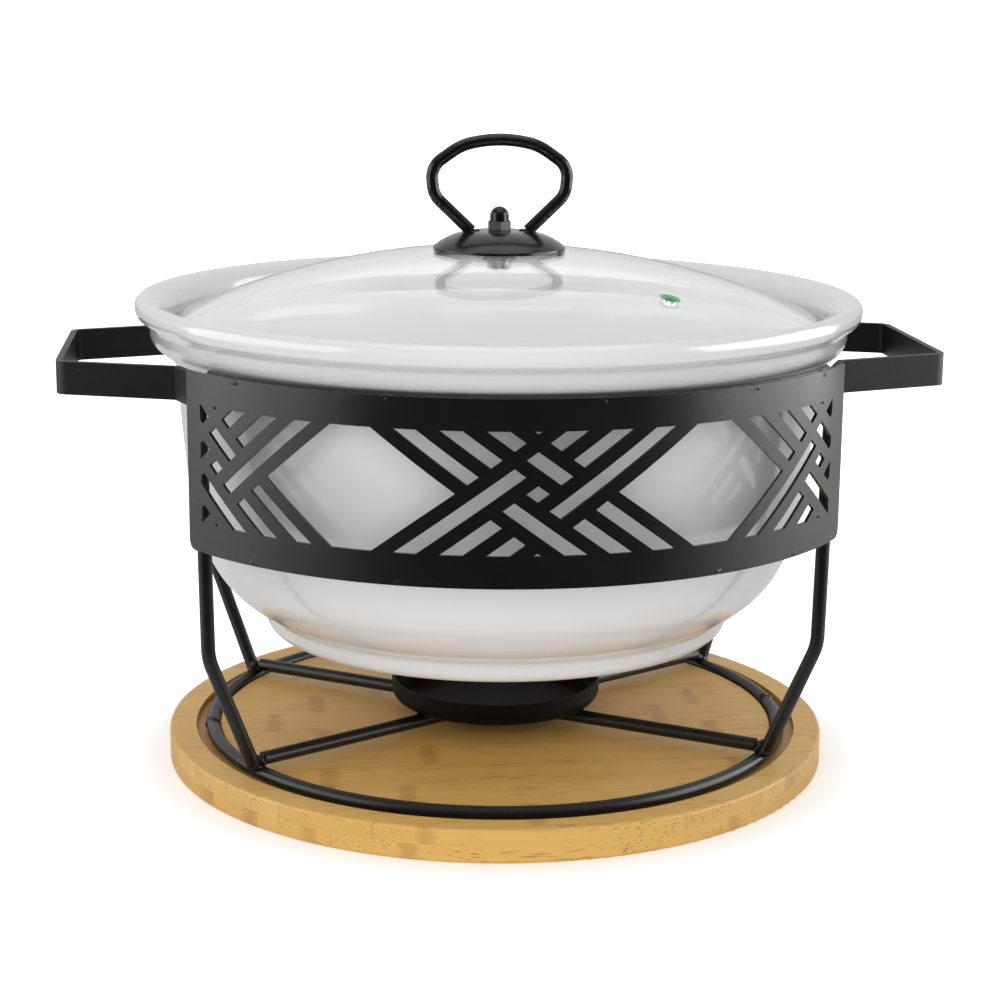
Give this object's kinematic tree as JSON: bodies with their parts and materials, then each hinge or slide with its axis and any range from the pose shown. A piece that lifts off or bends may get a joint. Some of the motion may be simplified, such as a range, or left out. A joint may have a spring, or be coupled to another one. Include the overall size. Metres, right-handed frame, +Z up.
{
  "type": "fondue pot set",
  "caption": "Round glazed pot with a domed glass lid on a black wire stand with pierced bands, strap handles and a candle tray, on a round bamboo board.",
  "frame": {"origin": "centre of the board's underside, on the table", "axes": "+Z up; +X towards the right strap handle; -Y is the front, where a pierced band faces the diner"},
  "size_m": [0.3206, 0.268, 0.2347],
  "materials": {
    "bamboo": "satin oiled",
    "black_powder_coat": "satin",
    "white_glaze": "gloss",
    "clear_glass": "gloss",
    "silicone": "matte",
    "black_knob": "gloss",
    "bolt_steel": "satin"
  },
  "bodies": {
    "board": {"bamboo_board": "bamboo"},
    "stand": {"base_ring": "black_powder_coat", "leg_front_left": "black_powder_coat", "leg_front_right": "black_powder_coat", "leg_back_left": "black_powder_coat", "leg_back_right": "black_powder_coat", "cross_rod_long": "black_powder_coat", "cross_rod_half_left": "black_powder_coat", "cross_rod_half_right": "black_powder_coat", "candle_tray": "black_powder_coat", "lattice_band_front": "black_powder_coat", "lattice_band_back": "black_powder_coat", "rest_wire_front": "black_powder_coat", "rest_wire_back": "black_powder_coat", "lower_wire_front": "black_powder_coat", "lower_wire_back": "black_powder_coat", "handle_strap_right": "black_powder_coat", "handle_strap_left": "black_powder_coat"},
    "pot": {"pot": "white_glaze"},
    "lid": {"lid_glass": "clear_glass", "lid_seal": "silicone", "lid_disc": "black_knob", "lid_loop": "black_knob", "lid_cap_nut": "black_knob", "lid_under_pad": "silicone", "lid_under_washer": "bolt_steel", "lid_bolt": "bolt_steel"}
  },
  "joints": [
    {"name": "stand_lift", "type": "slide", "parent": "board", "child": "stand", "axis": [0, 0, 1], "range_m": [0, 0.03]},
    {"name": "pot_lift", "type": "slide", "parent": "stand", "child": "pot", "axis": [0, 0, 1], "range_m": [0, 0.12]},
    {"name": "lid_lift", "type": "slide", "parent": "pot", "child": "lid", "axis": [0, 0, 1], "range_m": [0, 0.06]}
  ]
}
